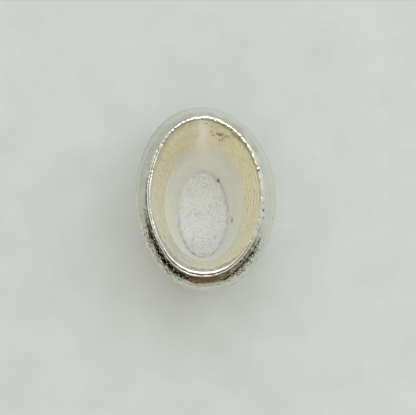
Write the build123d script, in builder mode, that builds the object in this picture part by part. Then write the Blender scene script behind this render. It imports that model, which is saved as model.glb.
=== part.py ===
from build123d import *
from collections import namedtuple
import os

# Driving dimensions in millimetres.
# The cup stands on its flat base: origin at the middle of the base, +Z up, the oval's length along Y.

# Oval stone that the cup is made to hold
stone_width = 10.0
stone_length = 15.0
stone_clearance = 0.07

# Thin lip that is burnished over the stone
lip_wall = 0.28
lip_height = 0.14

# Narrow ledge at the foot of the lip, and the quarter-round shoulder from there to the plain side
ledge_width = 0.05
shoulder_radius = 1.1

# Whole cup, the plain band below the shoulder, and the flat base
cup_height = 6.3
band_height = 0.4
base_width = 6.3
base_length = 11.4

# Hollow: a wide bearing for the stone, then a narrower well down to the floor
bearing_depth = 2.05
floor_thickness = 0.55
floor_width = 4.76
floor_length = 8.84
floor_corner_radius = 0.3

# Belly from the base up to the band: height and spread as shares of the whole belly
BellyRow = namedtuple("BellyRow", "height_share spread_share")
belly_table = [
    BellyRow(height_share=0.00, spread_share=0.00),
    BellyRow(height_share=0.33, spread_share=0.47),
    BellyRow(height_share=0.67, spread_share=0.83),
    BellyRow(height_share=1.00, spread_share=1.00),
]

# Lower edge of the bearing, as shares of the way from the floor's outline out to the opening's
bearing_width_share = 0.50
bearing_length_share = 0.45

# Outlines worked out from these sizes, as half-axes
opening_half_width = stone_width / 2 + stone_clearance
opening_half_length = stone_length / 2 + stone_clearance
lip_half_width = opening_half_width + lip_wall
lip_half_length = opening_half_length + lip_wall
side_half_width = lip_half_width + ledge_width + shoulder_radius
side_half_length = lip_half_length + ledge_width + shoulder_radius
base_half_width = base_width / 2
base_half_length = base_length / 2
floor_half_width = floor_width / 2
floor_half_length = floor_length / 2
bearing_half_width = floor_half_width + (opening_half_width - floor_half_width) * bearing_width_share
bearing_half_length = floor_half_length + (opening_half_length - floor_half_length) * bearing_length_share

# Heights above the base
lip_foot_height = cup_height - lip_height
belly_height = lip_foot_height - shoulder_radius - band_height
bearing_edge_height = cup_height - bearing_depth

with BuildPart() as bezel_cup:
    # Belly, flaring from the base to the plain band
    for row in belly_table:
        with BuildSketch(Plane.XY.offset(belly_height * row.height_share)):
            Ellipse(
                base_half_width + (side_half_width - base_half_width) * row.spread_share,
                base_half_length + (side_half_length - base_half_length) * row.spread_share,
            )
    loft()

    # Band and shoulder, rounded over to the ledge
    with BuildSketch(Plane.XY.offset(belly_height)):
        Ellipse(side_half_width, side_half_length)
    extrude(amount=lip_foot_height - belly_height)
    fillet(bezel_cup.edges().group_by(Axis.Z)[-1], radius=shoulder_radius)

    # Lip standing inside the ledge
    with BuildSketch(Plane.XY.offset(lip_foot_height)):
        Ellipse(lip_half_width, lip_half_length)
    extrude(amount=lip_height)

    # Well, from the floor up to the bearing's lower edge
    with BuildSketch(Plane.XY.offset(floor_thickness)):
        Ellipse(floor_half_width, floor_half_length)
    with BuildSketch(Plane.XY.offset(bearing_edge_height)):
        Ellipse(bearing_half_width, bearing_half_length)
    loft(mode=Mode.SUBTRACT)

    # Bearing, from there out to the opening
    with BuildSketch(Plane.XY.offset(bearing_edge_height)):
        Ellipse(bearing_half_width, bearing_half_length)
    with BuildSketch(Plane.XY.offset(cup_height)):
        Ellipse(opening_half_width, opening_half_length)
    loft(mode=Mode.SUBTRACT)

    # Soft corner where the floor meets the well
    floor_edge = bezel_cup.edges().filter_by_position(Axis.Z, floor_thickness, floor_thickness)
    fillet(floor_edge, radius=floor_corner_radius)

bezel_cup.part.label = "bezel_cup"

os.makedirs("parts", exist_ok=True)
export_step(bezel_cup.part, "parts/bezel_cup.step")
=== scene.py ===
from math import atan2, cos, degrees, exp, hypot, pi, radians, sin
from random import Random

import bmesh
import bpy
from mathutils import Matrix, Vector, noise


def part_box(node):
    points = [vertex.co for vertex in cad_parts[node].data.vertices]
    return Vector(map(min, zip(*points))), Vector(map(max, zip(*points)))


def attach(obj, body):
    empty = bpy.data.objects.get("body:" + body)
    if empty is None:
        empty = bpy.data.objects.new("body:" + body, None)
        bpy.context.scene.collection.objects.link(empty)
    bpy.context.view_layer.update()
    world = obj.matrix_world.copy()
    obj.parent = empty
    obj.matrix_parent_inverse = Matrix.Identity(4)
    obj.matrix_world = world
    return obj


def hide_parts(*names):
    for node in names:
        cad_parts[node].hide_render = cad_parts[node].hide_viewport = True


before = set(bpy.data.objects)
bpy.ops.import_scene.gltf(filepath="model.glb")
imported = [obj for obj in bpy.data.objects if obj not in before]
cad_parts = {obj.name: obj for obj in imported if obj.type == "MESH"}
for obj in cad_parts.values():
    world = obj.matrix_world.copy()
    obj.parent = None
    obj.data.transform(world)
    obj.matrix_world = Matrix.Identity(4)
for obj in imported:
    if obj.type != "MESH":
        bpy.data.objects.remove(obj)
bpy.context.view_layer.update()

mm = 0.001
cupLow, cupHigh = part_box("bezel_cup")
print("frame loaded, the cup is", [round(v / mm, 2) for v in cupHigh - cupLow], "mm")


def linearColour(hexValue):
    # the one place where sRGB hex colours become Blender's linear ones
    shares = [int(hexValue[i:i + 2], 16) / 255 for i in (1, 3, 5)]
    return tuple(s / 12.92 if s <= 0.04045 else ((s + 0.055) / 1.055) ** 2.4 for s in shares) + (1.0,)


def addNode(tree, kind, settings=None, links=None):
    # settings are input values or properties, links say which output feeds an input
    node = tree.nodes.new(kind)
    for name, value in (settings or {}).items():
        if isinstance(name, int) or name in node.inputs:
            node.inputs[name].default_value = value
        else:
            setattr(node, name, value)
    for name, source in (links or {}).items():
        tree.links.new(source, node.inputs[name])
    return node


def smoothStep(low, high, value):
    t = min(1.0, max(0.0, (value - low) / (high - low)))
    return t * t * (3 - 2 * t)


def apart(turn, other):
    # degrees between two turns, the shorter way round
    return abs((turn - other + 180) % 360 - 180)


def turnOfPoint(place):
    # degrees round the oval, from +X towards +Y
    return degrees(atan2(place.y / cupHigh.y, place.x / cupHigh.x))


def bulge(turn, humps):
    # humps are turn, half width and height
    total = 0.0
    for centre, spread, amount in humps:
        off = apart(turn, centre) / spread
        if off < 2:
            total += amount * cos(off * pi / 4) ** 2
    return total


# The cup's shape, as rings from the base up the outside, over the lip and down to the floor
cup = {
    "segments": 600,              # points round the oval
    "lipWall": 0.28 * mm,
    "lipHeight": 0.14 * mm,
    "lipEdgeRadius": 0.028 * mm,
    "lipCrown": 0.003 * mm,       # how far the lip's top stands over its edges
    "lipTopRings": 9,
    "lipTaper": 0.015 * mm,       # its outer wall leans in by this much
    "lipFootInset": 0.01 * mm,    # and starts this far in from the ledge's edge
    "lipWallRings": (0.0, 0.1, 0.5),    # places of its rings, as shares of its height
    "lipEdgeStart": 0.66,         # radians, where it turns into the rounded edge
    "ledgeWidth": 0.05 * mm,
    "shoulderRadius": 1.10 * mm,
    "shoulderStart": 0.14,        # radians, its slope at the lip's foot
    "bandHeight": 0.40 * mm,
    "baseWidth": 6.30 * mm,
    "baseLength": 11.40 * mm,
    "bellyPower": 1.6,            # how full the belly is between base and band
    "bearingDepth": 2.05 * mm,
    "bearingWidthShare": 0.50,    # lower edge of the bearing, between floor and opening
    "bearingLengthShare": 0.45,
    "wellCornerShare": 0.12,      # last part of the well, where it rounds into the floor
    "floorThickness": 0.55 * mm,
    "floorWidth": 4.76 * mm,
    "floorLength": 8.84 * mm,
    "floorCorner": 0.30 * mm,
    "bellyRings": 14,
    "bandRings": 2,
    "shoulderRings": 26,
    "edgeRings": 5,
    "bearingRings": 36,
    "wellRings": 14,
    "cornerRings": 7,
}


def grow(oval, amount):
    return tuple(v + amount for v in oval)


def between(a, b, t):
    return tuple(p + (q - p) * t for p, q in zip(a, b))


def cupRings(s):
    # each ring is half width, half length and height; marks remember where each stretch starts
    rings, marks = [], {}
    height = cupHigh.z
    side = (cupHigh.x, cupHigh.y)
    lip = grow(side, -s["shoulderRadius"] - s["ledgeWidth"])
    opening = grow(lip, -s["lipWall"])
    floorOval = (s["floorWidth"] / 2, s["floorLength"] / 2)
    baseOval = (s["baseWidth"] / 2, s["baseLength"] / 2)
    shares = (s["bearingWidthShare"], s["bearingLengthShare"])
    seat = tuple(f + (o - f) * k for f, o, k in zip(floorOval, opening, shares))
    lipFoot = height - s["lipHeight"]
    bellyTop = lipFoot - s["shoulderRadius"] - s["bandHeight"]

    # belly, band and shoulder
    for i in range(s["bellyRings"]):
        t = i / s["bellyRings"]
        spread = 1 - (1 - t) ** s["bellyPower"]
        rings.append((*between(baseOval, side, spread), bellyTop * t))
    for i in range(s["bandRings"]):
        rings.append((*side, bellyTop + s["bandHeight"] * i / s["bandRings"]))
    marks["shoulder"] = len(rings)
    first = s["shoulderStart"]
    for i in range(s["shoulderRings"]):
        angle = pi / 2 + (first - pi / 2) * i / (s["shoulderRings"] - 1)
        out = s["ledgeWidth"] + s["shoulderRadius"] * (sin(angle) - sin(first)) / (1 - sin(first))
        drop = s["shoulderRadius"] * (1 - cos(angle) / cos(first))
        rings.append((*grow(lip, out), lipFoot - drop))
    # the lip's outer wall, its top and its two rounded edges
    marks["lip"] = len(rings)
    r = s["lipEdgeRadius"]
    edgeHeight = height - s["lipCrown"] - r
    edge = grow(lip, -s["lipTaper"] - r)
    wallFoot = (*grow(lip, s["ledgeWidth"] - s["lipFootInset"]), lipFoot)
    wallEnd = (*grow(edge, r * cos(s["lipEdgeStart"])), edgeHeight + r * sin(s["lipEdgeStart"]))
    for t in s["lipWallRings"]:
        rings.append(between(wallFoot, wallEnd, t))
    for i in range(s["edgeRings"]):
        angle = s["lipEdgeStart"] + (pi / 2 - s["lipEdgeStart"]) * i / s["edgeRings"]
        rings.append((*grow(edge, r * cos(angle)), edgeHeight + r * sin(angle)))
    marks["lipTop"] = len(rings)
    flat = s["lipWall"] - s["lipTaper"] - 2 * r
    for i in range(s["lipTopRings"]):
        t = i / (s["lipTopRings"] - 1)
        crown = s["lipCrown"] * 4 * t * (1 - t)
        rings.append((*grow(edge, -flat * t), edgeHeight + r + crown))
    for i in range(1, s["edgeRings"] + 1):
        angle = pi / 2 * i / s["edgeRings"]
        rings.append((*grow(opening, r - r * sin(angle)), edgeHeight + r * cos(angle)))
    # the sloping bearing, the well and the corner that rounds into the floor
    marks["bearing"] = len(rings)
    start = (*opening, edgeHeight)
    ridge = (*seat, height - s["bearingDepth"])
    for i in range(1, s["bearingRings"] + 1):
        rings.append(between(start, ridge, i / (s["bearingRings"] + 1)))
    marks["well"] = len(rings)
    low = (*floorOval, s["floorThickness"])
    foot = between(ridge, low, 1 - s["wellCornerShare"])
    for i in range(s["wellRings"]):
        rings.append(between(ridge, foot, i / s["wellRings"]))
    marks["corner"] = len(rings)
    inner = (*grow(floorOval, -s["floorCorner"]), s["floorThickness"])
    for i in range(s["cornerRings"]):
        t = i / (s["cornerRings"] - 1)
        rings.append(between(between(foot, low, t), between(low, inner, t), t))
    return rings, marks


def turnOf(edge, width, length):
    # where an edge stands round the oval, in radians from +X
    middle = (edge.verts[0].co + edge.verts[1].co) / 2
    return atan2(middle.y / length, middle.x / width)


def buildCup(s):
    rings, marks = cupRings(s)
    bm = bmesh.new()
    along = bm.verts.layers.float.new("along")            # mm from the base's edge, over the lip
    verts = bmesh.ops.create_circle(bm, segments=s["segments"], radius=1.0)["verts"]
    width, length, height = rings[0]
    bmesh.ops.scale(bm, vec=(width, length, 1.0), verts=verts)
    edges = list(bm.edges)
    bmesh.ops.contextual_create(bm, geom=edges)           # the flat underside
    distances = [0.0]
    for ring in rings[1:]:
        grown = bmesh.ops.extrude_edge_only(bm, edges=edges)["geom"]
        verts = [g for g in grown if isinstance(g, bmesh.types.BMVert)]
        edges = [g for g in grown if isinstance(g, bmesh.types.BMEdge)]
        bmesh.ops.scale(bm, vec=(ring[0] / width, ring[1] / length, 1.0), verts=verts)
        bmesh.ops.translate(bm, vec=(0, 0, ring[2] - height), verts=verts)
        distances.append(distances[-1] + hypot(ring[0] - width, ring[2] - height) / mm)
        for v in verts:
            v[along] = distances[-1]
        width, length, height = ring
    # the floor is a grid that fills the last ring from its two ends
    ends = [e for e in edges if abs(abs(turnOf(e, width, length)) - pi / 2) < pi / 4]
    filled = bmesh.ops.grid_fill(bm, edges=ends)["faces"]
    rim = set(verts)
    for v in {v for f in filled for v in f.verts} - rim:
        v[along] = distances[-1] + width / mm * (1 - hypot(v.co.x / width, v.co.y / length))
    bmesh.ops.recalc_face_normals(bm, faces=bm.faces)
    for f in bm.faces:
        f.smooth = True
    # landmarks say how far over the cup each stretch starts, in mm
    landmarks = {name: distances[i] for name, i in marks.items()}
    landmarks["end"] = distances[-1] + width / mm
    return bm, landmarks


bm, landmarks = buildCup(cup)
print("cup rings done,", len(bm.verts), "points", {k: round(v, 2) for k, v in landmarks.items()})

# What hand work and casting left on that shape. A list of marks round the oval gives each one's turn in
# degrees from +X towards +Y, its half width in degrees and its size
handWork = {
    # the rim is pushed out, or in where that is negative
    "pushes": [(63, 18, -0.07 * mm), (85, 16, 0.05 * mm), (118, 18, 0.06 * mm), (14, 26, 0.10 * mm),
               (-45, 50, 0.07 * mm), (-113, 16, 0.13 * mm), (-152, 12, -0.05 * mm)],
    "shoulderFade": (1.3 * mm, 0.25 * mm),   # depths under the rim where the pushes end and begin to fade
    # inwards, the lip is thicker on one side and thinner on the other
    "thickening": [(-98, 28, 0.165 * mm), (15, 40, -0.05 * mm), (63, 15, 0.11 * mm), (117, 16, -0.07 * mm),
                   (170, 24, 0.08 * mm)],
    "thickeningFull": 0.05,                  # mm before the bearing, where it is whole
    "thickeningFade": (0.2, 0.3),            # mm past the bearing's upper edge, before its lower
    # a worn groove along the lip's top: depth, place and half width in mm
    "grooveDepth": 0.014 * mm,
    "grooveAt": 0.095,
    "grooveFurther": [(5, 35, 0.035), (-88, 26, -0.055)],     # nearer the inner or the outer edge
    "grooveWidth": 0.026,
    "grooveMissing": (78, 35, 72),           # none round this turn: degrees to its start, to its whole
    "grooveUneven": (0.8 * mm, 0.8),         # size and strength of its uneven wear
    "grooveLeast": 0.01,                     # share of its depth that is left out
    # the lip's top slopes inwards in places, and its outer part outwards at one end or raised beside that
    "dips": [(-90, 50, 0.014 * mm), (58, 20, 0.014 * mm), (148, 24, 0.016 * mm)],
    "dipEnds": (0.09, 0.3),                  # mm before the bearing, where a dip is whole, and past it
    "outerDips": [(-88, 15, 0.012 * mm), (-46, 20, -0.003 * mm), (-128, 18, -0.009 * mm),
                  (178, 22, -0.005 * mm), (5, 30, 0.004 * mm)],
    "outerDipEnds": (-0.02, 0.145),          # mm inwards from the lip's outer edge
    "bodyShift": (0.13 * mm, 0.13 * mm),     # the body's oval against the lip's
    "swells": [(0, 30, 0.10 * mm), (126, 30, 0.41 * mm), (180, 18, 0.07 * mm), (-122, 18, 0.12 * mm),
               (-52, 30, 0.08 * mm)],
    "swellFade": (0.45 * mm, 1.3 * mm),      # depths under the rim where the body's swelling sets in
    "baseFade": 1.5 * mm,                    # height over the base where it is whole
    "floorShift": 0.16 * mm,                 # one end of the floor is nearer the middle
    "floorShiftFrom": 1.0,                   # mm down the well
    "wobble": 0.016 * mm,                    # uneven filing of the lip
    "wobbleSize": 0.9 * mm,
}
castSkin = {
    # size and depth of the skin's waves, outside and inside
    "waves": [(2.4 * mm, 0.012 * mm), (0.75 * mm, 0.0045 * mm), (0.26 * mm, 0.0035 * mm)],
    # the casting is rougher on one side of the outside
    "roughTurn": -97,
    "roughSpan": (80, 50),                   # degrees from there where it starts and is whole
    "smoother": [(-88, 15, 0.75)],           # and a little smoother again in the middle of that side
    "roughBelly": (0.35, 1.3, 0.8),          # share of it on the belly, mm below the lip where more sets in
    "roughShoulder": (0.45, 0.6, 0.35),      # share lost beside the lip, mm below it where that sets in
    "roughWaves": [(0.45 * mm, 0.010 * mm), (0.24 * mm, 0.009 * mm)],
    "roughEnd": 0.03,                        # mm up the lip's wall
    "ridgeSpacing": 0.27,                    # mm between faint ridges round the outside
    "ridgeDepth": 0.003 * mm,
    "ridgeSway": (1.1 * mm, 0.5),            # size of their wandering, and their usual share of the depth
    "lipSmoother": [(-92, 60, 0.78)],        # the lip is burnished smoother on that side
    "nickDepth": 0.016 * mm,                 # small nicks in the lip's edges
    "nickSize": 0.42 * mm,
    "nickLeast": 0.15,                       # noise up to this leaves no nick
    "bearingShare": 0.35,                    # the cut bearing is smoother than the skin
    "bearingGrain": (0.22 * mm, 0.50),       # size and shade
    "wellShare": 0.5,
    "grooveSpacing": 0.36,                   # mm between the cutter's grooves in the bearing's sides
    "grooveDepth": 0.006 * mm,
    "grooveShade": 0.95,
    "grooveSides": (-8, 6),                  # turn of the sides that have them, and how sharply they end
    "grooveGaps": (0.42 * mm, 0.35),         # size of the gaps in them, and how softly those begin
    "cutterSway": (1.3 * mm, 0.3),           # how the grooves and the step wander
    "stepDepth": 0.30,                       # mm below the lip, where the cutter left a step
    "stepWidth": 0.035,
    "stepCut": 0.014 * mm,
    "stepLost": 0.7,                         # share of it that is gone where the grooves are
    "frostEnds": (0.25, 0.60),               # mm past the corner's edge, where the frosted floor sets in
    "grainSize": 0.17 * mm,
    "grainDepth": 0.036 * mm,
    "grainOctave": (2.1, 0.7),               # a finer grain over it: how much finer, and its strength
    "flatHeight": 0.02 * mm,                 # the underside below this stays flat
}


def workRim(bm, s, landmarks):
    # the lip is out of true, and the body sits a little to one side of it
    along = bm.verts.layers.float["along"]
    lipTop, bearing, well = landmarks["lipTop"], landmarks["bearing"], landmarks["well"]
    fadeEnd, fadeStart = s["shoulderFade"]
    past, before = s["thickeningFade"]
    dipFull, dipEnd = s["dipEnds"]
    wearSize, wear = s["grooveUneven"]
    bare, bareSpan, wholeSpan = s["grooveMissing"]
    for v in bm.verts:
        a = v[along]
        depth = cupHigh.z - v.co.z
        rimShare = 1 - smoothStep(fadeStart, fadeEnd, depth)
        outside = a < landmarks["lip"]
        outward = Vector((v.co.x / cupHigh.x ** 2, v.co.y / cupHigh.y ** 2, 0)).normalized()
        turn = turnOfPoint(v.co)
        push = bulge(turn, s["pushes"])
        inner = smoothStep(lipTop, bearing - s["thickeningFull"], a)
        inner *= 1 - smoothStep(bearing + past, well - before, a)
        push -= inner * bulge(turn, s["thickening"])
        place = v.co / s["wobbleSize"]
        push += s["wobble"] * noise.noise(Vector((place.x, place.y, 0)))
        v.co += outward * push * rimShare
        if not outside:
            across = smoothStep(lipTop, bearing - dipFull, a)
            across *= 1 - smoothStep(bearing, bearing + dipEnd, a)
            v.co.z -= bulge(turn, s["dips"]) * across
            v.co.z -= bulge(turn, s["outerDips"]) * (1 - smoothStep(*s["outerDipEnds"], a - lipTop))
            deep = smoothStep(well + s["floorShiftFrom"], landmarks["corner"], a)
            v.co.y -= s["floorShift"] * deep * max(0.0, v.co.y / cup["floorLength"] * 2)
        grooveAt = s["grooveAt"] + bulge(turn, s["grooveFurther"])
        worn = exp(-((a - lipTop - grooveAt) / s["grooveWidth"]) ** 2)
        if worn > s["grooveLeast"]:
            worn *= smoothStep(bareSpan, wholeSpan, apart(turn, bare))
            v.co.z -= s["grooveDepth"] * worn * (1 + wear * noise.noise(v.co / wearSize))
        if outside:
            base = smoothStep(0, s["baseFade"], v.co.z)
            v.co += outward * bulge(turn, s["swells"]) * base * smoothStep(*s["swellFade"], depth)
            v.co.x += s["bodyShift"][0] * (1 - rimShare) * base
            v.co.y += s["bodyShift"][1] * (1 - rimShare) * base


def waves(place, sizes):
    # sizes are each wave's size and depth
    return sum(depth * noise.noise(place / size) for size, depth in sizes)


def roughShare(a, turn, s, lip):
    # how rough the outside is: most on one side, less in its middle, on the belly and beside the lip
    start, whole = s["roughSpan"]
    share = 1 - smoothStep(whole, start, apart(turn, s["roughTurn"]))
    share *= 1 - bulge(turn, s["smoother"])
    least, low, high = s["roughBelly"]
    share *= least + (1 - least) * smoothStep(lip - low, lip - high, a)
    lost, low, high = s["roughShoulder"]
    return share * (1 - lost * smoothStep(lip - low, lip - high, a))


def cutterMarks(place, a, turn, s, bearing):
    # the grooves' wave, and how far they and the step move the bearing's skin
    swaySize, wander = s["cutterSway"]
    sway = wander * noise.noise(place / swaySize)
    sideTurn, sharpness = s["grooveSides"]
    sideways = cos(radians(turn - sideTurn)) ** sharpness
    gapSize, soft = s["grooveGaps"]
    broken = smoothStep(-soft, soft, noise.noise(place / gapSize))
    wave = sin(2 * pi * (a / s["grooveSpacing"] + sway)) * sideways * broken
    fromStep = (a - bearing - s["stepDepth"] * (1 + sway)) / s["stepWidth"]
    step = exp(-fromStep ** 2) * (1 - s["stepLost"] * sideways)
    return wave, s["grooveDepth"] * wave - s["stepCut"] * step


def roughenSkin(bm, s, landmarks):
    # waves, grit, nicks, the cutter's marks and the frosted grain move the skin along its normals
    along = bm.verts.layers.float["along"]
    grain = bm.verts.layers.float.new("grain")            # -1 in a pit, 1 on a peak
    rough = bm.verts.layers.float.new("rough")
    lip, bearing, well = landmarks["lip"], landmarks["bearing"], landmarks["well"]
    frostStart, frostWhole = [landmarks["corner"] + past for past in s["frostEnds"]]
    swaySize, usual = s["ridgeSway"]
    finer, finerShare = s["grainOctave"]
    cutGrain, cutShade = s["bearingGrain"]
    bm.normal_update()
    moves = []
    for v in bm.verts:
        a = v[along]
        turn = turnOfPoint(v.co)
        skin = 1.0
        if a > well:
            skin = s["wellShare"]
        elif a > bearing:
            skin = s["bearingShare"]
        elif a > lip:
            skin = 1 - bulge(turn, s["lipSmoother"])
        move = skin * waves(v.co, s["waves"])
        if a < lip + s["roughEnd"]:
            v[rough] = roughShare(a, turn, s, lip)
            sway = noise.noise(v.co / swaySize)
            move += v[rough] * waves(v.co, s["roughWaves"])
            move += s["ridgeDepth"] * sin(2 * pi * (a / s["ridgeSpacing"] + sway)) * (usual + sway)
        if lip < a < bearing:
            nick = abs(noise.noise(v.co / s["nickSize"]))
            move -= skin * s["nickDepth"] * max(0.0, nick - s["nickLeast"])
        if bearing < a < well:
            wave, cut = cutterMarks(v.co, a, turn, s, bearing)
            v[grain] = s["grooveShade"] * wave + cutShade * noise.noise(v.co / cutGrain)
            move += cut
        frosted = smoothStep(frostStart, frostWhole, a)
        if frosted > 0:
            place = v.co / s["grainSize"]
            v[grain] = frosted * (noise.noise(place) + finerShare * noise.noise(place * finer))
            move += s["grainDepth"] * v[grain]
        moves.append(v.normal * move)
    for v, move in zip(bm.verts, moves):
        if v.co.z > s["flatHeight"]:
            v.co += move


# Tarnish and dirt, with painted shade, painted reflections and painted highlights, painted on the points
stainsAndPaintedLight = {
    # dark spots: place in mm, radii in mm across, along and in height, strength
    "spots": [
        (1.46, 6.36, 5.36, 0.34, 0.07, 0.12, 0.95),
        (1.20, 6.44, 5.34, 0.12, 0.09, 0.14, 0.6),
        (1.75, 5.98, 5.10, 0.06, 0.20, 0.20, 0.55),
        (2.05, 6.12, 5.58, 0.26, 0.06, 0.10, 0.75),
        (2.35, 6.02, 5.66, 0.16, 0.05, 0.10, 0.6),
        (0.68, 6.69, 5.36, 0.07, 0.08, 0.12, 0.7),
        (0.80, 6.40, 5.10, 0.20, 0.05, 0.10, 0.5),
        (0.66, 7.05, 5.80, 0.14, 0.05, 0.10, 0.5),
        (1.20, 6.95, 5.95, 0.30, 0.05, 0.10, 0.35),
        (0.06, 7.26, 5.90, 0.30, 0.04, 0.07, 0.55),
        (1.49, 3.42, 0.69, 0.12, 0.12, 0.30, 0.95),
        (2.75, -1.06, 1.75, 0.08, 0.22, 0.5, 0.55),
        (2.68, -0.66, 1.75, 0.07, 0.14, 0.4, 0.35),
        (5.06, 2.41, 6.25, 0.10, 0.16, 0.30, 1.0),
        (5.46, -0.80, 6.12, 0.07, 0.10, 0.2, 0.7),
        (5.46, -1.49, 6.12, 0.09, 0.14, 0.2, 0.9),
        (5.44, -2.20, 6.12, 0.07, 0.10, 0.2, 0.6),
        (6.31, -2.06, 5.47, 0.10, 0.14, 0.2, 0.5),
        (-4.04, 3.60, 5.67, 0.06, 0.10, 0.2, 0.45),
        (-3.68, -3.91, 5.37, 0.06, 0.16, 0.2, 0.3),
    ],
    "spotEdge": 1.5,                        # how sharply a spot ends
    "spotFilm": (0.4, 0.6),                 # the amber film round it: how sharply that ends, its strength
    "spotReach": 3,                         # radii
    # small specks scattered round one place, in mm
    "specks": 110,
    "speckCentre": (1.60, 6.25, 5.45),
    "speckSpread": (1.05, 0.50, 0.45),
    "speckGather": 0.55,                    # share of that spread where most of them are
    "speckRadius": (0.03, 0.07),
    "speckStretch": (1, 2.5),
    "speckHeight": 0.12,
    "speckStrength": (0.2, 0.7),
    "seed": 7,
    # amber blotches, as the spots
    "blotches": [
        (-2.47, 5.33, 5.2, 0.36, 0.16, 0.5, 0.30),
        (-3.33, 4.94, 5.5, 0.22, 0.22, 0.5, 0.30),
        (-4.06, 4.16, 5.6, 0.14, 0.30, 0.5, 0.34),
        (-3.69, 1.17, 5.0, 0.16, 0.60, 0.9, 0.22),
        (-2.95, 6.05, 6.1, 0.40, 0.14, 0.3, 0.34),
        (2.60, 5.95, 5.9, 0.45, 0.20, 0.4, 0.30),
        (1.70, 6.35, 5.4, 0.75, 0.30, 0.5, 0.16),
    ],
    "blotchUneven": 0.8,
    # dark lines, mostly painted shade in creases and grooves (the lip's foot, under its inner edge, along
    # its top's groove) and a painted dark reflection low on the body, partly dirt: mm from a landmark,
    # width, then turn, half width and strength
    "lines": [
        ("bearing", 0.045, 0.055, [(112, 36, 0.86), (38, 30, 0.80)]),
        ("bearing", 0.13, 0.050, [(42, 20, 0.36)]),
        ("bearing", 0.27, 0.035, [(50, 25, 0.30), (120, 30, 0.50)]),
        ("bearing", 0.25, 0.220, [(135, 30, 0.15)]),
        ("bearing", 0.02, 0.030, [(90, 16, 0.75)]),
        ("bearing", -0.03, 0.050, [(8, 22, 0.40)]),
        ("lipTop", 0.095, 0.024, [(172, 38, 0.92), (150, 10, 0.70), (-20, 20, 0.50), (10, 20, 0.35)]),
        ("lipTop", 0.100, 0.036, [(-44, 26, 0.90)]),
        ("lipTop", 0.085, 0.034, [(-120, 20, 1.10)]),
        ("lip", -0.20, 0.17, [(-126, 28, 0.68)]),
        ("lipTop", 0.035, 0.040, [(-88, 18, 0.65)]),
        ("shoulder", 0.30, 0.30, [(125, 75, 0.13), (10, 55, 0.11)]),
        ("lipTop", 0.135, 0.040, [(60, 14, 0.60)]),
        ("lip", -0.03, 0.095, [(-166, 24, 0.95), (-125, 24, 0.6), (-88, 16, 0.5), (60, 20, 0.30),
                                (112, 14, 0.40)]),
    ],
    "lineReach": 3,                         # widths
    "lineBreaks": (0.55 * mm, 0.8, 0.90),   # size and strength of the gaps in them, usual strength
    # patterns that make the films and the painted light uneven
    "fineSize": 0.17 * mm,
    "unevenPatchSize": 0.40 * mm,
    "unevenPatchStrength": 0.5,
    # films and painted shade: turn, half width, strength
    "amberInside": [(125, 42, 0.20), (30, 50, 0.03)],
    "amberWell": [(125, 32, 0.24), (55, 25, 0.13), (90, 30, 0.03)],
    "amberLip": [(-93, 40, 0.17), (72, 24, 0.32), (34, 34, 0.20), (-40, 20, 0.08), (130, 40, 0.11),
                 (180, 30, 0.12), (96, 22, 0.06)],
    # outside, the amber is a warm painted shade on the -Y side and towards -X
    "amberShadeOutside": [(140, 40, 0.06), (-75, 62, 0.06), (-118, 34, 0.05)],
    # dull grey that is partly painted shade: on the inner -Y and -X walls, and outside on the -X and -Y
    # sides, more towards the base
    "dullAndShadeInside": [(-122, 16, 0.30), (-90, 62, 0.46), (180, 60, 0.32), (130, 30, 0.05)],
    "dullWell": 0.15,
    "paintedShadeOutside": [(148, 32, 0.50), (-90, 60, 0.15)],
    "outsideShadeFalloff": (0.4, 0.5, 0.9),        # share of that beside the lip, mm below it where more sets in
    "dullUneven": 0.6,
    # where films and painted light change, in mm: before and after the bearing's lower edge,
    # past the corner's upper edge, down the well, and up the lip's wall
    "wallEnds": (0.1, 0.15),
    "wellEnd": 0.4,
    "amberWellEnds": (0.1, 2.2),
    "lipStart": 0.05,
    # blue-grey: painted shade outside beside the lip and round the floor's edge, a painted reflection in
    # the crescent under the lip, and a tint towards the floor's -Y end
    "shadeBesideLip": [(50, 30, 0.45), (90, 16, 0.25), (140, 34, 0.35)],
    "shadeBelowLip": (0.28, 0.26),             # mm below the lip, and half width
    "shadePatch": 0.9 * mm,
    "shadeSoft": 0.5,                        # how softly its clouds end
    "shadeUneven": 0.4,
    "floorLineAt": 0.30,                    # painted shade line round the floor's edge: mm past the corner's upper edge
    "floorLineWidth": 0.23,
    "floorLineSway": 0.15,
    "floorEdgeShade": [(46, 46, 0.62), (-50, 40, 0.45), (-92, 22, 0.22), (-125, 40, 0.60), (180, 30, 0.10)],
    "floorLineUneven": (0.38 * mm, 0.9, 0.8),     # size and strength of its patches, usual strength
    "floorGreyEnd": (0.20, -1.8, -4.2),        # blue-grey towards the floor's -Y end: strength, and y in mm where it sets in and is whole
    "crescentWidth": 0.72,
    "crescentTurn": -103,
    "crescentSpan": 66,                     # degrees each way
    "crescentSway": (1.1 * mm, 0.3),        # how its width wanders
    "crescentReflection": (0.55, 0.4),            # usual strength, and how uneven
    "crescentEnds": (0.75, 1.05),           # shares of its width where it fades
    "crescentLines": [(0.92, 0.55), (1.16, 0.8)],     # dark line and painted highlight line: share of its width, strength
    "crescentLineWidth": 0.13,
    "crescentLineFade": (0.2, 0.5),         # mm wide where they set in
    "crescentLineGaps": 0.3,                # how softly their gaps begin
    # a painted highlight streak down one end of the wall, in mm
    "highlightCentre": -0.08,
    "highlightWidth": 0.54,
    "highlightEdge": 2.4,                      # how sharply it ends
    "highlightEnds": (0.6, 2.2),               # mm before and after the bearing's lower edge
    "highlightSway": 0.25,                     # how its edges wander with the patches
    "highlightBands": (0.26, 0.15),            # spacing in mm and strength of bands across it
    "highlightBandSway": (0.5 * mm, 4),        # size and strength of their wandering, in radians
}


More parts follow.
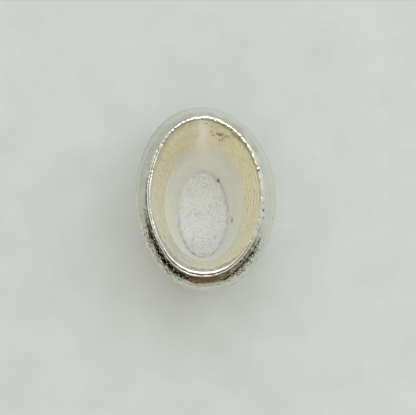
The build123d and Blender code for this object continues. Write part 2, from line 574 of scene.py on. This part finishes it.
def nearSpot(place, spots, s):
    # how deep in any of the spots a point is, and how deep in the film round them
    x, y, z = place
    reach = s["spotReach"]
    dark, film = 0.0, 0.0
    for sx, sy, sz, rx, ry, rz, strength in spots:
        if abs(x - sx) < reach * rx and abs(y - sy) < reach * ry and abs(z - sz) < reach * rz:
            away = ((x - sx) / rx) ** 2 + ((y - sy) / ry) ** 2 + ((z - sz) / rz) ** 2
            dark = max(dark, strength * exp(-away ** s["spotEdge"]))
            film = max(film, strength * exp(-s["spotFilm"][0] * away))
    return dark, film


def scatterSpecks(s):
    # specks are spots too, with places and radii drawn at random
    draws = Random(s["seed"])
    specks = []
    for _ in range(s["specks"]):
        place = [draws.gauss(c, d * s["speckGather"]) for c, d in zip(s["speckCentre"], s["speckSpread"])]
        radius = draws.uniform(*s["speckRadius"])
        longer = radius * draws.uniform(*s["speckStretch"])
        specks.append((*place, longer, radius, s["speckHeight"], draws.uniform(*s["speckStrength"])))
    return specks


def shadeAndDirtLines(a, turn, patchy, s, landmarks):
    # darkness of the lines, mostly painted shade in creases and grooves, partly dirt
    dark = 0.0
    for mark, offset, width, turns in s["lines"]:
        away = (a - landmarks[mark] - offset) / width
        if abs(away) < s["lineReach"]:
            dark = max(dark, bulge(turn, turns) * exp(-away ** 2) * min(1.0, patchy))
    return dark


def highlightStreak(place, a, patch, s, well):
    # how bright the painted highlight streak is, with faint bands across it
    before, after = s["highlightEnds"]
    fade = 1 - smoothStep(well - before, well + after, a) if place.y > 0 else 0.0
    spacing, strength = s["highlightBands"]
    swaySize, sway = s["highlightBandSway"]
    bands = 1 - strength + strength * sin(2 * pi * a / spacing + sway * noise.noise(place / swaySize))
    off = abs(place.x / mm - s["highlightCentre"] - s["highlightSway"] * patch) / s["highlightWidth"]
    return exp(-off ** s["highlightEdge"]) * fade * bands


def reflectedCrescent(place, a, turn, patch, s, bearing):
    # the painted reflection of the crescent under the lip, and the dark line and the painted highlight line
    # at its lower edge
    off = apart(turn, s["crescentTurn"]) / s["crescentSpan"]
    swaySize, sway = s["crescentSway"]
    width = s["crescentWidth"] * max(0.001, 1 - off ** 2)
    width *= 1 + sway * noise.noise(place / swaySize)
    edge = (a - bearing) / width
    usual, uneven = s["crescentReflection"]
    paintedShadeAndReflection = (usual + uneven * patch) * (1 - smoothStep(*s["crescentEnds"], edge))
    gaps = s["crescentLineGaps"]
    broken = smoothStep(*s["crescentLineFade"], width) * smoothStep(-gaps, gaps, patch)
    dark, bright = [strength * exp(-((edge - share) / s["crescentLineWidth"]) ** 2) * broken
                    for share, strength in s["crescentLines"]]
    return paintedShadeAndReflection, dark, bright


def paintedInside(place, a, turn, fine, patch, s, landmarks):
    # films and painted light on the bearing, the well and the floor
    well, corner = landmarks["well"], landmarks["corner"]
    before, after = s["wallEnds"]
    onWall = 1 - smoothStep(well - before, well + after, a)
    inWell = (1 - onWall) * (1 - smoothStep(corner, corner + s["wellEnd"], a))
    start, end = s["amberWellEnds"]
    upper = 1 - smoothStep(well + start, well + end, a)
    uneven = 1 + s["unevenPatchStrength"] * patch
    amberAndShade = bulge(turn, s["amberInside"]) * onWall * uneven
    amberAndShade += bulge(turn, s["amberWell"]) * inWell * upper * uneven
    blotch = nearSpot(place / mm, s["blotches"], s)[0] * (1 + s["blotchUneven"] * fine)
    dull = bulge(turn, s["dullAndShadeInside"]) * onWall * uneven + s["dullWell"] * inWell
    paintedShadeAndReflection, dark, bright = reflectedCrescent(place, a, turn, patch, s, landmarks["bearing"])
    onLine = (a - corner - s["floorLineAt"] - s["floorLineSway"] * fine) / s["floorLineWidth"]
    patchSize, strength, usual = s["floorLineUneven"]
    lineUneven = usual + strength * noise.noise(place / patchSize)
    line = bulge(turn, s["floorEdgeShade"]) * exp(-onLine ** 2) * lineUneven
    most, start, whole = s["floorGreyEnd"]
    onFloor = most * smoothStep(start, whole, place.y / mm) if a > corner + s["floorLineAt"] else 0.0
    return {
        "amberAndShade": max(amberAndShade, blotch),
        "dull": dull,
        "paintedShadeAndReflection": max(paintedShadeAndReflection, line, onFloor),
        "paintedHighlight": highlightStreak(place, a, patch, s, well) + bright,
        "stainAndShade": dark,
    }


def paintedOutside(place, a, turn, fine, patch, s, lip):
    # films and painted shade on the body and the lip
    below, halfWidth = s["shadeBelowLip"]
    beside = exp(-((lip - below - a) / halfWidth) ** 2)
    cloud = noise.noise(place / s["shadePatch"]) + s["shadeUneven"] * fine
    least, start, whole = s["outsideShadeFalloff"]
    low = least + (1 - least) * smoothStep(lip - start, lip - whole, a)
    onLip = smoothStep(lip, lip + s["lipStart"], a)
    amberAndShade = bulge(turn, s["amberShadeOutside"]) * (1 + patch) * (1 - onLip)
    return {
        "amberAndShade": amberAndShade + bulge(turn, s["amberLip"]) * onLip,
        "dull": bulge(turn, s["paintedShadeOutside"]) * low * (1 + s["dullUneven"] * patch),
        "paintedShadeAndReflection": bulge(turn, s["shadeBesideLip"]) * beside * smoothStep(-s["shadeSoft"], s["shadeSoft"], cloud),
        "stainAndShade": 0.0,
    }


def paintStainsAndLight(bm, s, landmarks):
    # paints the stains and dirt, and the painted shade, reflections and highlights, on the points
    along = bm.verts.layers.float["along"]
    names = ("stainAndShade", "amberAndShade", "dull", "paintedShadeAndReflection", "paintedHighlight")
    layers = {name: bm.verts.layers.float.new(name) for name in names}
    spots = s["spots"] + scatterSpecks(s)
    gapSize, gaps, usual = s["lineBreaks"]
    for v in bm.verts:
        a = v[along]
        turn = turnOfPoint(v.co)
        fine = noise.noise(v.co / s["fineSize"])
        patch = noise.noise(v.co / s["unevenPatchSize"]) + s["unevenPatchStrength"] * fine
        patchy = usual + gaps * noise.noise(v.co / gapSize) + s["unevenPatchStrength"] * fine
        dark, film = nearSpot(v.co / mm, spots, s)
        dark = max(dark, shadeAndDirtLines(a, turn, patchy, s, landmarks))
        if a > landmarks["bearing"]:
            filmsAndPaintedLight = paintedInside(v.co, a, turn, fine, patch, s, landmarks)
            filmsAndPaintedLight["amberAndShade"] = max(film * s["spotFilm"][1], filmsAndPaintedLight["amberAndShade"])
        else:
            filmsAndPaintedLight = paintedOutside(v.co, a, turn, fine, patch, s, landmarks["lip"])
        filmsAndPaintedLight["stainAndShade"] = min(1.0, max(dark, filmsAndPaintedLight["stainAndShade"]))
        for name, strength in filmsAndPaintedLight.items():
            v[layers[name]] = strength


workRim(bm, handWork, landmarks)
roughenSkin(bm, castSkin, landmarks)
paintStainsAndLight(bm, stainsAndPaintedLight, landmarks)
mesh = bpy.data.meshes.new("castCup")
bm.to_mesh(mesh)
bm.free()
bezelCup = bpy.data.objects.new("castCup", mesh)
bpy.context.scene.collection.objects.link(bezelCup)
triangles = sum(len(p.vertices) - 2 for p in mesh.polygons)
print("cup mesh done,", triangles, "triangles")

silver = {
    # zone: colour, roughness, metallic; frosted zones scatter light like chalk, so they are less metallic
    "belly": ("#F2F4EC", 0.16, 1.0),
    "shoulder": ("#F0F2E7", 0.10, 1.0),
    # the lip is whiter than the shoulder so that the lines its edges mirror read brighter, a painted
    # highlight
    "lip": ("#FFFFFA", 0.13, 1.0),
    "bearing": ("#F9F3D4", 0.38, 0.35),
    "well": ("#F8F8F0", 0.45, 0.25),
    "floor": ("#FCFDFF", 0.80, 0.15),
    # where the zones meet: a landmark, mm from it, and the zone that begins or ends there
    "zoneStops": [
        ("shoulder", 0.0, "belly"),
        ("shoulder", 1.0, "shoulder"),
        ("lip", -0.02, "shoulder"),
        ("lip", 0.02, "lip"),
        ("bearing", -0.02, "lip"),
        ("bearing", 0.03, "bearing"),
        ("well", -0.12, "bearing"),
        ("well", 0.20, "well"),
        ("corner", 0.20, "well"),
        ("corner", 0.50, "floor"),
    ],
    # films over it, from the lowest up: dull grey partly painted shade, blue-grey painted shade and
    # reflections, amber partly painted shade, white painted highlights, dark stains partly painted shade
    "filmsAndPaintedLight": [
        ("dull", "#D0D2C8"),
        ("paintedShadeAndReflection", "#A3ABAA"),
        ("amberAndShade", "#B0904C"),
        ("paintedHighlight", "#FFFCF0"),
        ("stainAndShade", "#403300"),
    ],
    "pitColour": "#1A1109",
    # how far each pattern shades the colour up and down
    "blotchDepth": 0.03,
    "lineDepth": 0.06,
    "pitDepth": 0.27,
    "noiseReach": (0.25, 0.75),   # what a noise pattern mostly spans
    "blotchSize": 1.3,            # mm
    "lineSpacing": 0.20,          # mm between the fine lines left by turning and polishing
    "lineStretch": 0.09,          # less than 1 draws them out along the rim
    "pepperSize": 0.11,           # mm, grit of the cast skin, coarser than the real one so that it shows
    "pepperHeight": 0.019 * mm,
    "pepperLeast": 0.16,          # share of it on the smoother side
    "gritStretch": 0.30,          # draws the grit out along the rim
    "pitLevels": (0.47, 0.39),    # of the grit, where black starts in its pits and where it fills them
    "pitStrength": 0.96,
    "glintColour": "#E4DCC6",     # pale matt flecks on the rough side, painted glints
    "glintSize": 0.085,           # mm, coarser too
    "glintLevels": (0.58, 0.62),
}


def zoneRamps(tree, s, landmarks, along):
    # colour, roughness and metallic of the zones
    share = addNode(tree, "ShaderNodeMapRange", {"From Max": landmarks["end"]}, {"Value": along})
    ramps = []
    for which in range(3):
        ramp = addNode(tree, "ShaderNodeValToRGB", {}, {"Fac": share.outputs["Result"]})
        while len(ramp.color_ramp.elements) < len(s["zoneStops"]):
            ramp.color_ramp.elements.new(0.5)
        for element, (mark, offset, zone) in zip(ramp.color_ramp.elements, s["zoneStops"]):
            element.position = (landmarks[mark] + offset) / landmarks["end"]
            value = s[zone][which]
            element.color = linearColour(value) if which == 0 else (value, value, value, 1.0)
        ramps.append(ramp.outputs["Color"])
    return ramps


def drawnOut(tree, axes, along, stretch):
    # where a point is for a pattern that is drawn out along the rim
    place = addNode(tree, "ShaderNodeCombineXYZ", {}, {"Z": along})
    for axis in ("X", "Y"):
        slow = addNode(tree, "ShaderNodeMath", {"operation": "MULTIPLY", 1: stretch / mm},
                       {0: axes.outputs[axis]})
        tree.links.new(slow.outputs[0], place.inputs[axis])
    return place.outputs[0]


def shadeFactor(tree, patterns, polish):
    # blotches, lines and grain as one factor round 1, the lines fading where the silver is less polished
    steps = []
    for source, (low, high), depth in patterns:
        ends = {"From Min": low, "From Max": high, "To Min": -depth, "To Max": depth}
        steps.append(addNode(tree, "ShaderNodeMapRange", ends, {"Value": source}).outputs["Result"])
    blotches, lines, grain = steps
    factor = addNode(tree, "ShaderNodeMath", {"operation": "MULTIPLY_ADD", 2: 1.0}, {0: lines, 1: polish})
    for step in (blotches, grain):
        factor = addNode(tree, "ShaderNodeMath", {"operation": "MULTIPLY_ADD"},
                         {0: step, 1: factor.outputs[0], 2: factor.outputs[0]})
    return factor.outputs[0]


def castSterlingSilver(s, landmarks):
    # sterling silver, cast: polished outside, satin where it was cut, white and grainy where left as cast
    material = bpy.data.materials.new("castSterlingSilver")
    material.use_nodes = True
    tree = material.node_tree
    tree.nodes.clear()
    output = addNode(tree, "ShaderNodeOutputMaterial")
    along, grain, rough = [addNode(tree, "ShaderNodeAttribute", {"attribute_name": name}).outputs["Fac"]
                           for name in ("along", "grain", "rough")]
    colour, roughness, polish = zoneRamps(tree, s, landmarks, along)
    place = addNode(tree, "ShaderNodeTexCoord").outputs["Object"]
    axes = addNode(tree, "ShaderNodeSeparateXYZ", {}, {0: place})
    linePlace = drawnOut(tree, axes, along, s["lineStretch"])
    gritPlace = drawnOut(tree, axes, along, s["gritStretch"])
    blotches = addNode(tree, "ShaderNodeTexNoise", {"Scale": 1 / (s["blotchSize"] * mm), "Detail": 3.0},
                       {"Vector": place})
    lines = addNode(tree, "ShaderNodeTexNoise", {"Scale": 0.5 / s["lineSpacing"], "Detail": 2.0},
                    {"Vector": linePlace})
    factor = shadeFactor(tree, [
        (blotches.outputs["Fac"], s["noiseReach"], s["blotchDepth"]),
        (lines.outputs["Fac"], s["noiseReach"], s["lineDepth"]),
        (grain, (-1.0, 1.0), s["pitDepth"]),
    ], polish)
    shaded = addNode(tree, "ShaderNodeVectorMath", {"operation": "SCALE"}, {0: colour, "Scale": factor})
    colour = shaded.outputs[0]
    for name, shade in s["filmsAndPaintedLight"]:
        painted = addNode(tree, "ShaderNodeAttribute", {"attribute_name": name})
        mixed = addNode(tree, "ShaderNodeMix", {"data_type": "RGBA", 7: linearColour(shade)},
                        {0: painted.outputs["Fac"], 6: colour})
        colour = mixed.outputs[2]
    # the rough side has black in the pits of its grit, and pale matt flecks that are painted glints
    pepper = addNode(tree, "ShaderNodeTexNoise", {"Scale": 1 / s["pepperSize"], "Detail": 2.0},
                     {"Vector": gritPlace})
    paintedGlints = addNode(tree, "ShaderNodeTexNoise", {"Scale": 1 / s["glintSize"], "Detail": 1.0},
                     {"Vector": gritPlace})
    masks = {}
    for name, source, (low, high), most, shade in (
        ("pits", pepper, s["pitLevels"], s["pitStrength"], s["pitColour"]),
        ("paintedGlints", paintedGlints, s["glintLevels"], 1.0, s["glintColour"]),
    ):
        found = addNode(tree, "ShaderNodeMapRange", {"From Min": low, "From Max": high, "To Max": most},
                        {"Value": source.outputs["Fac"]})
        mask = addNode(tree, "ShaderNodeMath", {"operation": "MULTIPLY"},
                       {0: found.outputs["Result"], 1: rough})
        masks[name] = mask.outputs[0]
        mixed = addNode(tree, "ShaderNodeMix", {"data_type": "RGBA", 7: linearColour(shade)},
                        {0: masks[name], 6: colour})
        colour = mixed.outputs[2]
    unglinted = addNode(tree, "ShaderNodeMath", {"operation": "SUBTRACT", 0: 1.0}, {1: masks["paintedGlints"]})
    metallic = addNode(tree, "ShaderNodeMath", {"operation": "MULTIPLY"},
                       {0: polish, 1: unglinted.outputs[0]})
    strength = addNode(tree, "ShaderNodeMapRange", {"To Min": s["pepperLeast"]}, {"Value": rough})
    bump = addNode(tree, "ShaderNodeBump", {"Distance": s["pepperHeight"]},
                   {"Height": pepper.outputs["Fac"], "Strength": strength.outputs["Result"]})
    shader = addNode(tree, "ShaderNodeBsdfPrincipled", {},
                     {"Base Color": colour, "Roughness": roughness, "Metallic": metallic.outputs[0],
                      "Normal": bump.outputs["Normal"]})
    tree.links.new(shader.outputs["BSDF"], output.inputs["Surface"])
    return material


mesh.materials.append(castSterlingSilver(silver, landmarks))
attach(bezelCup, "root")
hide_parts("bezel_cup")

# Floor, light and camera. Azimuth 0 is the +Y side and 90 the +X side, tilts are from straight up
studio = {
    "floorSize": 400 * mm,
    "floorDrop": 0.01 * mm,       # under the cup's base
    "paperColour": "#EFF3F4",
    "mottleColour": "#DDE1DF",
    "mottleSize": 5 * mm,
    "paperRoughness": 0.9,
    "paperSheen": 0.2,
    "domeTilt": (35, 70),
    "domeBright": "#CACFCB",
    "domeDim": "#ADACA0",
    "fillBright": "#F3F8FA",      # the soft light that matt surfaces get
    "fillDim": "#E1D9C2",
    "fillStrength": 0.753,
    # soft light and dark patches that the polished silver mirrors: azimuth, tilt, half width,
    # half height, soft edge, colour
    "patches": [
        (8, 22, 21, 9, 0.6, "#DEDED7"),
        (140, 21, 27, 30, 0.3, "#767059"),
        (189, 17, 21, 33, 0.20, "#6A523E"),
        (251, 31, 22, 21, 0.30, "#160B04"),
        (120, 48, 23, 14, 0.25, "#0C0906"),
    ],
    "patchWarp": 0.35,            # how far their edges wander
    "patchWarpScale": 2.6,
    # azimuth, tilt, angular radius, radiance, whether polished silver mirrors it or matt surfaces get it
    "lamps": [
        ("windowLamp", 6, 25.5, 3.6, 5.6, True),
        ("softLamp", 70, 60, 30, 0.72, False),
        ("backLamp", 352, 60, 26, 0.58, False),
        ("frontLamp", 186, 66, 22, 0.66, False),
    ],
    "lampDistance": 350 * mm,
    "lampColour": "#FFFDF8",
}


def directionOf(azimuth, tilt):
    a, t = radians(azimuth), radians(tilt)
    return Vector((sin(a) * sin(t), cos(a) * sin(t), cos(t)))


def makeFloor(s):
    bmFloor = bmesh.new()
    bmesh.ops.create_grid(bmFloor, x_segments=1, y_segments=1, size=s["floorSize"] / 2)
    bmesh.ops.translate(bmFloor, vec=(0, 0, -s["floorDrop"]), verts=bmFloor.verts)
    floorMesh = bpy.data.meshes.new("paleFloor")
    bmFloor.to_mesh(floorMesh)
    bmFloor.free()
    floorObject = bpy.data.objects.new("paleFloor", floorMesh)
    bpy.context.scene.collection.objects.link(floorObject)
    # matt uncoated paper: no gloss, and a faint mottle
    material = bpy.data.materials.new("mattPaper")
    material.use_nodes = True
    tree = material.node_tree
    shader = tree.nodes["Principled BSDF"]
    place = addNode(tree, "ShaderNodeTexCoord").outputs["Object"]
    mottle = addNode(tree, "ShaderNodeTexNoise", {"Scale": 1 / s["mottleSize"], "Detail": 4.0},
                     {"Vector": place})
    mixed = addNode(tree, "ShaderNodeMix", {"data_type": "RGBA", 6: linearColour(s["mottleColour"]),
                                            7: linearColour(s["paperColour"])}, {0: mottle.outputs["Fac"]})
    tree.links.new(mixed.outputs[2], shader.inputs["Base Color"])
    shader.inputs["Roughness"].default_value = s["paperRoughness"]
    shader.inputs["Specular IOR Level"].default_value = s["paperSheen"]
    floorMesh.materials.append(material)


def makeWorld(s):
    world = bpy.data.worlds.new("studio")
    bpy.context.scene.world = world
    world.use_nodes = True
    tree = world.node_tree
    tree.nodes.clear()
    output = addNode(tree, "ShaderNodeOutputWorld")
    place = addNode(tree, "ShaderNodeTexCoord")
    unit = addNode(tree, "ShaderNodeVectorMath", {"operation": "NORMALIZE"},
                   {0: place.outputs["Generated"]})
    way = unit.outputs[0]
    # the dome is brighter towards one side
    lit = addNode(tree, "ShaderNodeVectorMath",
                  {"operation": "DOT_PRODUCT", 1: directionOf(*s["domeTilt"])}, {0: way})
    side = addNode(tree, "ShaderNodeMapRange", {"From Min": -1.0, "From Max": 1.0},
                   {"Value": lit.outputs["Value"]})
    dome = addNode(tree, "ShaderNodeMix", {"data_type": "RGBA", 6: linearColour(s["domeDim"]),
                                           7: linearColour(s["domeBright"])}, {0: side.outputs["Result"]})
    colour = dome.outputs[2]
    warp = addNode(tree, "ShaderNodeTexNoise", {"Scale": s["patchWarpScale"], "Detail": 3.0},
                   {"Vector": way})
    ragged = addNode(tree, "ShaderNodeMath",
                     {"operation": "MULTIPLY_ADD", 1: s["patchWarp"], 2: -s["patchWarp"] / 2},
                     {0: warp.outputs["Fac"]})
    for azimuth, tilt, halfWidth, halfHeight, soft, shade in s["patches"]:
        centre = directionOf(azimuth, tilt)
        across = Vector((0, 0, 1)).cross(centre).normalized()
        upward = centre.cross(across)
        facing = Matrix((across, upward, centre)).to_euler()
        turned = addNode(tree, "ShaderNodeMapping", {"vector_type": "POINT", "Rotation": facing},
                         {"Vector": way})
        span = (1 / sin(radians(halfWidth)), 1 / sin(radians(halfHeight)), 0)
        scaled = addNode(tree, "ShaderNodeVectorMath", {"operation": "MULTIPLY", 1: span},
                         {0: turned.outputs["Vector"]})
        reach = addNode(tree, "ShaderNodeVectorMath", {"operation": "LENGTH"},
                        {0: scaled.outputs["Vector"]})
        edge = addNode(tree, "ShaderNodeMath", {"operation": "ADD"},
                       {0: reach.outputs["Value"], 1: ragged.outputs["Value"]})
        ends = {"From Min": 1 + soft / 2, "From Max": 1 - soft / 2}
        mask = addNode(tree, "ShaderNodeMapRange", {"interpolation_type": "SMOOTHSTEP", **ends},
                       {"Value": edge.outputs["Value"]})
        mixed = addNode(tree, "ShaderNodeMix", {"data_type": "RGBA", 7: linearColour(shade)},
                        {0: mask.outputs["Result"], 6: colour})
        colour = mixed.outputs[2]
    mirrored = addNode(tree, "ShaderNodeBackground", {}, {"Color": colour})
    even = addNode(tree, "ShaderNodeMix", {"data_type": "RGBA", 6: linearColour(s["fillDim"]),
                                           7: linearColour(s["fillBright"])}, {0: side.outputs["Result"]})
    fill = addNode(tree, "ShaderNodeBackground", {"Strength": s["fillStrength"]},
                   {"Color": even.outputs[2]})
    # only what is mirrored directly shows the dome, so that the floor beside the cup still gets the fill
    ray = addNode(tree, "ShaderNodeLightPath")
    direct = addNode(tree, "ShaderNodeMath", {"operation": "LESS_THAN", 1: 0.5},
                     {0: ray.outputs["Diffuse Depth"]})
    shown = addNode(tree, "ShaderNodeMath", {"operation": "MULTIPLY"},
                    {0: ray.outputs["Is Glossy Ray"], 1: direct.outputs[0]})
    both = addNode(tree, "ShaderNodeMixShader", {},
                   {0: shown.outputs[0], 1: fill.outputs[0], 2: mirrored.outputs[0]})
    tree.links.new(both.outputs[0], output.inputs["Surface"])


def makeLamps(s):
    for name, azimuth, tilt, radius, radiance, mirrored in s["lamps"]:
        light = bpy.data.lights.new(name, "AREA")
        light.shape = "DISK"
        light.size = 2 * s["lampDistance"] * sin(radians(radius))
        light.energy = radiance * pi * pi * (light.size / 2) ** 2
        light.color = linearColour(s["lampColour"])[:3]
        lamp = bpy.data.objects.new(name, light)
        away = directionOf(azimuth, tilt)
        lamp.location = away * s["lampDistance"]
        lamp.rotation_mode = "QUATERNION"
        lamp.rotation_quaternion = away.to_track_quat("Z", "Y")
        lamp.visible_glossy = mirrored
        lamp.visible_diffuse = not mirrored
        bpy.context.scene.collection.objects.link(lamp)


cameraPlan = {
    "tilt": 19.0,                 # from straight up, towards -Y
    "lean": 1.47,                 # degrees towards -X
    "distance": 110 * mm,
    "focalPixels": 1190.6,
    "pictureWidth": 416,
    "sensorWidth": 36.0,
    "clip": (5 * mm, 2000 * mm),
    "aim": (0.331 * mm, -1.308 * mm),
}


def makeCamera(s):
    tilt, lean = radians(s["tilt"]), radians(s["lean"])
    back = Vector((-sin(lean), -sin(tilt) * cos(lean), cos(tilt) * cos(lean))).normalized()
    right = Vector((0, 1, 0)).cross(back).normalized()
    data = bpy.data.cameras.new("pictureCamera")
    data.sensor_width = s["sensorWidth"]
    data.lens = s["focalPixels"] / s["pictureWidth"] * s["sensorWidth"]
    data.clip_start, data.clip_end = s["clip"]
    camera = bpy.data.objects.new("pictureCamera", data)
    camera.rotation_mode = "QUATERNION"
    camera.rotation_quaternion = Matrix((right, back.cross(right), back)).transposed().to_quaternion()
    camera.location = Vector((*s["aim"], cupHigh.z)) + back * s["distance"]
    bpy.context.scene.collection.objects.link(camera)
    bpy.context.scene.camera = camera


makeFloor(studio)
makeWorld(studio)
makeLamps(studio)
makeCamera(cameraPlan)
bpy.context.scene.view_settings.view_transform = "Standard"
print("studio ready")
